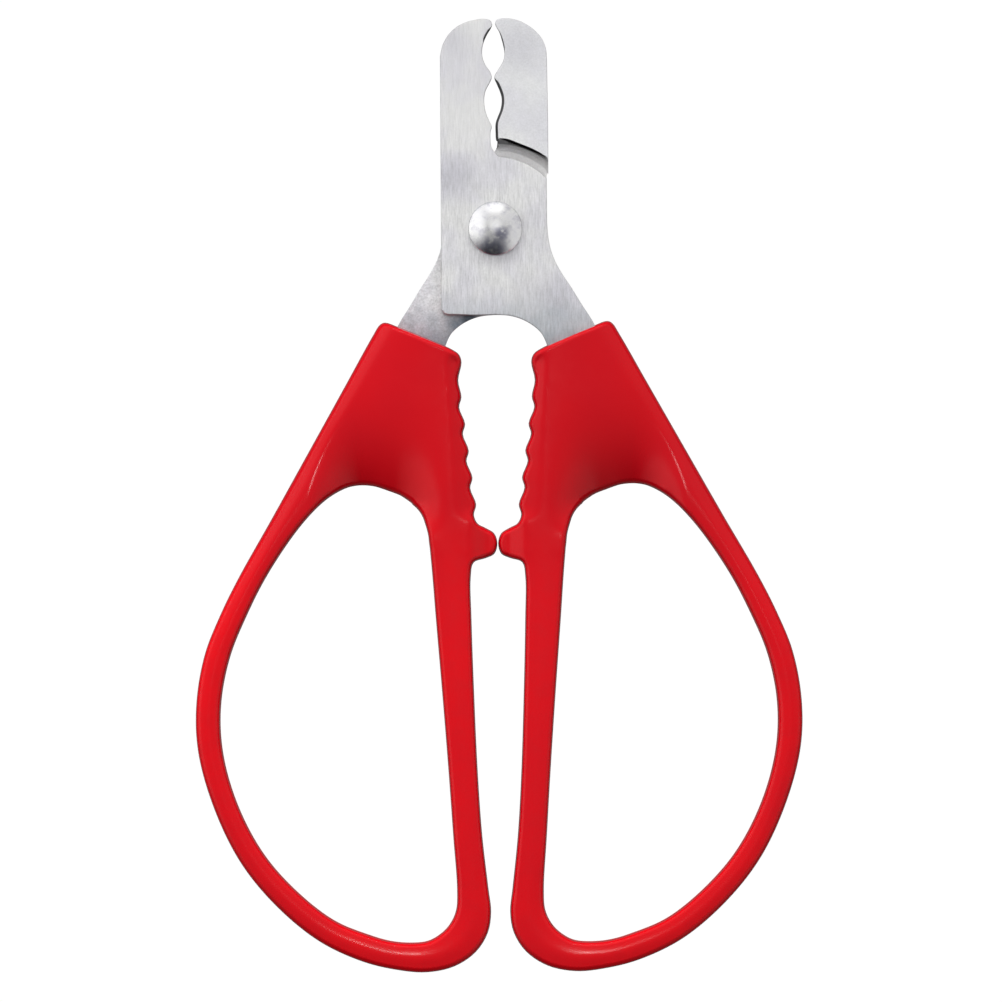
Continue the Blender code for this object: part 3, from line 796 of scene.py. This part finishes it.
# Plan place, and inner and outer radius.
SATIN_DULL_AT = (2.8, 21.0, 0.5, 5.0)
TAIL_SHADOW_SOFT_AT = (-3.8, -11.0, 0.3, 2.6)
TAIL_SHADOW_DEEP_AT = (-3.0, -10.4, 0.4, 1.3)
TRENCH_LIGHT_AT = (0.0, 0.0, 9.5, 10.0)
TRENCH_LIGHT_Y = (4.0, 5.0)
# Places between which the painted shade of the rear blade's step and cutting edge fades in.
REAR_DARK_X = (2.4, 1.9)
STEP_DARK_Y = (13.0, 12.0)
STEP_DARK_X = (6.1, 5.8)
STEP_DARK_FROM_Y = (7.6, 8.2)

RIVET_LIGHT = (0.93, 0.93, 0.925, 1.0)
RIVET_HAZE = (0.87, 0.865, 0.89, 1.0)
RIVET_SMUDGE = (0.50, 0.49, 0.57, 1.0)
FINGER_MARK = (0.22, 0.225, 0.32, 1.0)
# Painted dark reflection low on the dome.
LOW_DARK_REFLECTION = (0.21, 0.22, 0.34, 1.0)
FINGER_MARK_AT = (0.75, -0.65, 0.3, 1.15)
LOW_DARK_REFLECTION_AT = (-0.4, -2.5, 0.7, 2.1)
MATT_AT = (0.1, 0.4, 0.4, 1.3)
MATT_ROUGHNESS = 0.42


class Graph:
    """Short hand for building a node tree."""

    def __init__(self, tree):
        self.tree = tree

    def add(self, kind, **values):
        node = self.tree.nodes.new(kind)
        for key, value in values.items():
            setattr(node, key, value)
        return node

    def link(self, a, b):
        self.tree.links.new(a, b)

    def put(self, socket, value):
        if isinstance(value, bpy.types.NodeSocket):
            self.link(value, socket)
        else:
            socket.default_value = value

    def math(self, op, a, b=0.0, c=0.0):
        node = self.add("ShaderNodeMath", operation=op)
        for socket, value in zip(node.inputs, (a, b, c)):
            self.put(socket, value)
        return node.outputs[0]

    def product(self, *values):
        out = values[0]
        for value in values[1:]:
            out = self.math("MULTIPLY", out, value)
        return out

    def weighted(self, first, *others):
        """Sum of values, each given with its weight."""
        total = self.math("MULTIPLY", *first)
        for value, weight in others:
            total = self.math("MULTIPLY_ADD", value, weight, total)
        return total

    def axes(self, vector):
        split = self.add("ShaderNodeSeparateXYZ")
        self.link(vector, split.inputs[0])
        return split.outputs

    def ramp(self, value, low, high, to_low=0.0, to_high=1.0, smooth=True):
        node = self.add("ShaderNodeMapRange")
        node.interpolation_type = "SMOOTHSTEP" if smooth else "LINEAR"
        for name, v in (("Value", value), ("From Min", low), ("From Max", high),
                        ("To Min", to_low), ("To Max", to_high)):
            self.put(node.inputs[name], v)
        return node.outputs[0]

    def x_ramp(self, x, low, high):
        """Ramp between two places across the clipper, in plan millimetres."""
        return self.ramp(x, low * MM, high * MM)

    def y_ramp(self, y, low, high, to_low=0.0, to_high=1.0):
        """Ramp between two places along the clipper, in plan millimetres."""
        return self.ramp(y, (PIVOT_Y + low) * MM, (PIVOT_Y + high) * MM, to_low, to_high)

    def mix(self, share, a, b):
        """Mix of two numbers."""
        node = self.add("ShaderNodeMix", data_type="FLOAT")
        self.put(node.inputs[0], share)
        self.put(node.inputs[2], a)
        self.put(node.inputs[3], b)
        return node.outputs[0]

    def colour(self, share, a, b, kind="MIX"):
        """Mix of two colours."""
        node = self.add("ShaderNodeMix", data_type="RGBA", blend_type=kind)
        self.put(node.inputs[0], share)
        self.put(node.inputs[6], a)
        self.put(node.inputs[7], b)
        return node.outputs[2]

    def noise(self, vector, scale, detail=3.0, rough=0.5, stretch=None):
        if stretch:
            mapping = self.add("ShaderNodeMapping")
            mapping.inputs["Scale"].default_value = stretch
            self.link(vector, mapping.inputs["Vector"])
            vector = mapping.outputs[0]
        node = self.add("ShaderNodeTexNoise")
        node.inputs["Scale"].default_value = scale
        node.inputs["Detail"].default_value = detail
        node.inputs["Roughness"].default_value = rough
        self.link(vector, node.inputs["Vector"])
        return node.outputs["Fac"]

    def bump(self, height, strength, distance, normal=None):
        node = self.add("ShaderNodeBump")
        node.inputs["Strength"].default_value = strength
        node.inputs["Distance"].default_value = distance
        self.link(height, node.inputs["Height"])
        if normal is not None:
            self.link(normal, node.inputs["Normal"])
        return node.outputs[0]


def new_material(name):
    mat = bpy.data.materials.new(name)
    mat.use_nodes = True
    g = Graph(mat.node_tree)
    shader = mat.node_tree.nodes["Principled BSDF"]
    where = g.add("ShaderNodeTexCoord").outputs["Object"]
    return mat, g, shader, where


def red_plastic():
    mat, g, shader, where = new_material("red_plastic_moulded")
    cloud = g.noise(where, scale=90.0, detail=2.0)
    fine = g.noise(where, scale=700.0)
    grain = g.noise(where, scale=2600.0, detail=2.0)
    # Painted light: the red is lighter towards the loops' bars.
    lighter_below = g.y_ramp(g.axes(where)[1], *RED_LIGHTER_Y)
    light, dark = [g.colour(lighter_below, *pair) for pair in zip(RED_UPPER, RED_LOOPS_LIGHTER)]
    colour = g.colour(g.ramp(cloud, 0.3, 0.7), light, dark)
    colour = g.colour(g.ramp(fine, 0.35, 0.75, 0.0, RED_FLECK_SHARE), colour, RED_FLECK)
    g.link(colour, shader.inputs["Base Color"])
    g.link(g.ramp(fine, 0.3, 0.7, 0.14, 0.18), shader.inputs["Roughness"])
    normal = g.bump(fine, strength=0.05, distance=0.00005)
    normal = g.bump(grain, strength=0.03, distance=0.00002, normal=normal)
    g.link(normal, shader.inputs["Normal"])
    shader.inputs["Specular IOR Level"].default_value = RED_SPECULAR
    return mat


def patch(g, where, x, y, inner, outer):
    """Soft round mask about a place in plan millimetres from the rivet."""
    far = g.add("ShaderNodeVectorMath", operation="DISTANCE")
    flat = g.add("ShaderNodeVectorMath", operation="MULTIPLY")
    g.link(where, flat.inputs[0])
    flat.inputs[1].default_value = (1.0, 1.0, 0.0)
    g.link(flat.outputs[0], far.inputs[0])
    far.inputs[1].default_value = (x * MM, (PIVOT_Y + y) * MM, 0.0)
    return g.ramp(far.outputs["Value"], outer * MM, inner * MM)


def mottled(g, value, half_range, depth, strength, level):
    """Brightness about a level, from noise that spreads by half its range about a half."""
    swing = g.ramp(value, 0.5 - half_range, 0.5 + half_range, -depth, depth, smooth=False)
    return g.math("ADD", g.product(swing, strength), level)


def steel_colour(g, where, shader, tint, handle_shade, shade, deep_shade_share):
    """Steel colour, with painted shade towards the handles and on the walls and sheared edges."""
    # Painted shade deepens towards the handles, with a ragged limit.
    ragged = g.math("MULTIPLY_ADD", g.noise(where, scale=500.0), HANDLE_SHADE_RAGGED, g.axes(where)[1])
    tint = g.colour(g.y_ramp(ragged, *HANDLE_SHADE_Y), tint, handle_shade)
    # Painted shade on walls and edges, by how far the surface turns from upright.
    normal = g.add("ShaderNodeNewGeometry").outputs["True Normal"]
    upright = g.math("ABSOLUTE", g.axes(normal)[2])
    edge_shade = g.mix(deep_shade_share, EDGE_SHADE_LIGHT, EDGE_SHADE_DEEP)
    shade = g.product(shade, g.ramp(upright, *FLATNESS, edge_shade, 1.0))
    grey = g.add("ShaderNodeCombineXYZ")
    for socket in grey.inputs:
        g.link(shade, socket)
    g.link(g.colour(1.0, tint, grey.outputs[0], "MULTIPLY"), shader.inputs["Base Color"])


def brushed_steel():
    mat, g, shader, where = new_material("brushed_steel_plate")
    lines = g.noise(where, scale=1.0, detail=2.0, rough=0.65, stretch=BRUSH_FINE)
    broad = g.noise(where, scale=1.0, detail=2.0, stretch=BRUSH_BROAD)
    grain = g.noise(where, scale=4500.0, detail=2.0, rough=0.6)
    cloud = g.noise(where, scale=170.0, detail=2.0)
    tint = g.colour(g.ramp(cloud, 0.36, 0.64), BRUSHED_LIGHT, BRUSHED_DARK)
    # Darker patches; those on the right shank are painted shade.
    for place_x, place_y, inner, outer, share in DARKER_PLACES:
        darker = g.product(patch(g, where, place_x, place_y, inner, outer), share)
        tint = g.colour(darker, tint, BRUSHED_DARKER)
    x, y, _ = g.axes(where)
    shade = g.weighted((broad, 0.30), (lines, 0.52), (grain, 0.18))
    strength = g.y_ramp(y, 15.0, 3.0, 0.65, 1.5)
    shade = mottled(g, shade, 0.18, 0.17, strength, 1.0)
    # Painted shade, deepest on the front blade's cutting edge.
    deep_edge_shade = g.product(g.x_ramp(x, *FRONT_DARK_X), g.y_ramp(y, *FRONT_DARK_Y),
                        g.y_ramp(y, *TIP_Y))
    steel_colour(g, where, shader, tint, BRUSHED_HANDLE_SHADE, shade, deep_edge_shade)
    shader.inputs["Metallic"].default_value = BRUSHED_METAL
    g.link(g.ramp(lines, 0.3, 0.7, 0.38, 0.47), shader.inputs["Roughness"])
    g.link(g.bump(lines, strength=0.22, distance=0.00002), shader.inputs["Normal"])
    return mat


def satin_steel():
    mat, g, shader, where = new_material("satin_steel_plate")
    grain = g.noise(where, scale=4200.0, rough=0.65)
    blotch = g.noise(where, scale=1300.0)
    cloud = g.noise(where, scale=200.0, detail=2.0)
    tint = g.colour(g.ramp(cloud, 0.35, 0.65), SATIN_LIGHT, SATIN_DARK)
    tint = g.colour(g.product(patch(g, where, *SATIN_DULL_AT), 0.6), tint, SATIN_DULL)
    # Painted shadow beside the edge of the front blade's tail.
    tail_shadow = g.product(patch(g, where, *TAIL_SHADOW_SOFT_AT), g.ramp(blotch, 0.3, 0.6, 0.6, 1.0))
    tint = g.colour(tail_shadow, tint, TAIL_SHADOW_SOFT)
    tint = g.colour(patch(g, where, *TAIL_SHADOW_DEEP_AT), tint, TAIL_SHADOW_DEEP)
    # Painted light on the floor below the raised jaw's step, which lies in shade.
    x, y, _ = g.axes(where)
    trench_light = g.product(patch(g, where, *TRENCH_LIGHT_AT), g.y_ramp(y, *TRENCH_LIGHT_Y))
    tint = g.colour(trench_light, tint, SATIN_TRENCH_LIGHT)
    shade = g.weighted((blotch, 0.4), (grain, 0.6))
    strength = g.y_ramp(y, 8.0, -5.0, 0.8, 1.9)
    shade = mottled(g, shade, 0.17, 0.15, strength, 0.98)
    # Painted shade, deepest on the rear blade's step and cutting edge.
    deep_edge_shade = g.product(g.x_ramp(x, *REAR_DARK_X), g.y_ramp(y, *TIP_Y))
    deep_edge_shade = g.math("MAXIMUM", deep_edge_shade, g.y_ramp(y, *STEP_DARK_Y))
    deep_edge_shade = g.product(deep_edge_shade, g.x_ramp(x, *STEP_DARK_X), g.y_ramp(y, *STEP_DARK_FROM_Y))
    steel_colour(g, where, shader, tint, SATIN_HANDLE_SHADE, shade, deep_edge_shade)
    shader.inputs["Metallic"].default_value = SATIN_METAL
    g.link(g.ramp(blotch, 0.3, 0.7, 0.42, 0.52), shader.inputs["Roughness"])
    g.link(g.bump(grain, strength=0.25, distance=0.00003), shader.inputs["Normal"])
    return mat


def polished_steel():
    mat, g, shader, where = new_material("polished_steel_rivet")
    haze = g.noise(where, scale=650.0)
    smudge = g.noise(where, scale=900.0, detail=4.0, rough=0.6)
    nick = g.noise(where, scale=2600.0, detail=2.0, rough=0.7)
    colour = g.colour(g.ramp(haze, 0.35, 0.7), RIVET_LIGHT, RIVET_HAZE)
    colour = g.colour(g.ramp(smudge, 0.47, 0.68, 0.0, 0.5), colour, RIVET_SMUDGE)
    # Finger mark on the right of the dome's middle, and a painted dark reflection on the dome's
    # lower part.
    mark = g.product(patch(g, where, *FINGER_MARK_AT), g.ramp(smudge, 0.36, 0.52), 0.8)
    colour = g.colour(mark, colour, FINGER_MARK)
    # Painted reflection of the dark front, broken by the smudges.
    low = g.product(patch(g, where, *LOW_DARK_REFLECTION_AT), g.ramp(smudge, 0.3, 0.5), 0.75)
    colour = g.colour(low, colour, LOW_DARK_REFLECTION)
    g.link(colour, shader.inputs["Base Color"])
    shader.inputs["Metallic"].default_value = 1.0
    rough = g.ramp(haze, 0.3, 0.7, 0.20, 0.27)
    rough = g.mix(patch(g, where, *MATT_AT), rough, MATT_ROUGHNESS)
    g.link(rough, shader.inputs["Roughness"])
    normal = g.bump(smudge, strength=0.14, distance=0.00003)
    normal = g.bump(nick, strength=0.05, distance=0.00001, normal=normal)
    g.link(normal, shader.inputs["Normal"])
    return mat


# ---------------------------------------------------------------- stage and light
# Lengths are metres here.
BACKDROP_GLOW = 1.02
FLOOR_HALF = 4.0
FLOOR_Z = -0.0003
DOME_R = 3.9

# Brightness of the light tent's parts, and directions between which each fades in.
TENT_WALLS = (0.50, 0.72)       # towards the handles, and towards the jaws
TENT_WALLS_Y = (-0.10, 0.50)
TENT_TOP = 0.44
TENT_TOP_Z = (0.90, 0.98)
TENT_LEFT = 1.15
TENT_LEFT_X = (-0.36, -0.62)
TENT_RIGHT = 0.70
TENT_RIGHT_X = (0.45, 0.75)
TENT_OPENING = 0.06
TENT_OPENING_Y = (0.05, -0.98)
TENT_OPENING_X = (0.70, 0.05)
TENT_BELOW = 0.12
TENT_HORIZON_Z = (-0.06, 0.10)
BOX_STRENGTH = 1.35
BOX_MIDDLE_X = -0.04
BOX_HALF_X = (0.56, 0.14)
BOX_Y = (0.55, 0.85)
BOX_Z = (0.22, 0.34)

# Name, place, aim, size and energy of each lamp, and whether reflections show it.
LAMPS = (
    ("key", (0.0, 0.52, 0.30), (0.0, 0.0, 0.0), (0.35, 0.20), 3.9, False),
    ("side", (-0.12, 0.03, 0.05), (0.0, -0.01, 0.0), (0.10, 0.05), 0.052, False),
    ("spot", (0.015, 0.15, 0.99), (0.0, 0.0, 0.0), (0.06, 0.06), 0.4, True),
)

CAMERA_AT = (0.00041, -0.00067)
CAMERA_TURN = -0.45         # degrees
VIEW_WIDTH = 0.11554        # at this level, just above the handles' middle
VIEW_LEVEL = 0.004
CAMERA_DISTANCE = 2.5       # above that level
SENSOR_WIDTH = 36.0         # millimetres, as the lens is


def stage():
    """White floor and dome; both are only a backdrop and cast no light on the object."""
    white = bpy.data.materials.new("white_backdrop")
    white.use_nodes = True
    g = Graph(white.node_tree)
    white.node_tree.nodes.remove(white.node_tree.nodes["Principled BSDF"])
    glow = g.add("ShaderNodeEmission")
    glow.inputs["Strength"].default_value = BACKDROP_GLOW
    g.link(glow.outputs[0], white.node_tree.nodes["Material Output"].inputs["Surface"])
    bm = bmesh.new()
    bmesh.ops.create_grid(bm, x_segments=1, y_segments=1, size=FLOOR_HALF)
    floor_mesh = bpy.data.meshes.new("floor")
    bm.to_mesh(floor_mesh)
    bm.free()
    floor = bpy.data.objects.new("floor", floor_mesh)
    floor.location = (0.0, 0.0, FLOOR_Z)
    bm = bmesh.new()
    bmesh.ops.create_uvsphere(bm, u_segments=32, v_segments=16, radius=DOME_R)
    dome_mesh = bpy.data.meshes.new("backdrop")
    bm.to_mesh(dome_mesh)
    bm.free()
    dome = bpy.data.objects.new("backdrop", dome_mesh)
    for obj in (floor, dome):
        obj.data.materials.append(white)
        obj.visible_diffuse = False
        obj.visible_glossy = False
        obj.visible_transmission = False
        obj.visible_shadow = False
        bpy.context.scene.collection.objects.link(obj)


def studio():
    """Light tent: pale all round, a bright box beyond the jaws, open and dark in front."""
    world = bpy.data.worlds.new("studio")
    bpy.context.scene.world = world
    world.use_nodes = True
    g = Graph(world.node_tree)
    back = world.node_tree.nodes["Background"]
    x, y, z = g.axes(g.add("ShaderNodeTexCoord").outputs["Generated"])
    light = g.ramp(y, *TENT_WALLS_Y, *TENT_WALLS)
    light = g.mix(g.ramp(z, *TENT_TOP_Z), light, TENT_TOP)
    light = g.mix(g.ramp(x, *TENT_LEFT_X), light, TENT_LEFT)
    light = g.mix(g.ramp(x, *TENT_RIGHT_X), light, TENT_RIGHT)
    opening = g.product(g.ramp(y, *TENT_OPENING_Y), g.ramp(x, *TENT_OPENING_X))
    light = g.mix(opening, light, TENT_OPENING)
    off_middle = g.math("ABSOLUTE", g.math("SUBTRACT", x, BOX_MIDDLE_X))
    box = g.product(g.ramp(y, *BOX_Y), g.ramp(off_middle, *BOX_HALF_X), g.ramp(z, *BOX_Z))
    light = g.mix(box, light, BOX_STRENGTH)
    light = g.mix(g.ramp(z, *TENT_HORIZON_Z), TENT_BELOW, light)
    g.link(light, back.inputs["Strength"])
    back.inputs["Color"].default_value = (1.0, 1.0, 1.0, 1.0)


def lamp(name, place, aim, size, energy, in_reflections):
    """Rectangular soft lamp."""
    data = bpy.data.lights.new(name, "AREA")
    data.shape = "RECTANGLE"
    data.size, data.size_y = size
    data.energy = energy
    obj = bpy.data.objects.new(name, data)
    obj.location = place
    obj.rotation_euler = (Vector(aim) - obj.location).to_track_quat("-Z", "Y").to_euler()
    obj.visible_glossy = in_reflections
    bpy.context.scene.collection.objects.link(obj)


def camera():
    """Straight down on the clipper, turned by under half a degree."""
    data = bpy.data.cameras.new("camera")
    data.sensor_width = SENSOR_WIDTH
    data.lens = SENSOR_WIDTH * CAMERA_DISTANCE / VIEW_WIDTH
    data.clip_start = 0.05
    obj = bpy.data.objects.new("camera", data)
    obj.location = (*CAMERA_AT, CAMERA_DISTANCE + VIEW_LEVEL)
    obj.rotation_euler = (0.0, 0.0, math.radians(CAMERA_TURN))
    bpy.context.scene.collection.objects.link(obj)
    bpy.context.scene.camera = obj
    bpy.context.scene.view_settings.view_transform = "Standard"


plastic = red_plastic()
build_handle("left_handle_moulding", -1.0, REAR_BODY, "left_handle", plastic)
build_handle("right_handle_moulding", 1.0, FRONT_BODY, "right_handle", plastic)
build_front_blade(brushed_steel())
build_rear_blade(satin_steel())
polished = polished_steel()
build_rivet(polished)
washer = frame["nodes"]["rivet_washer"]
washer.data.materials.clear()
washer.data.materials.append(polished)
stage()
studio()
for settings in LAMPS:
    lamp(*settings)
camera()
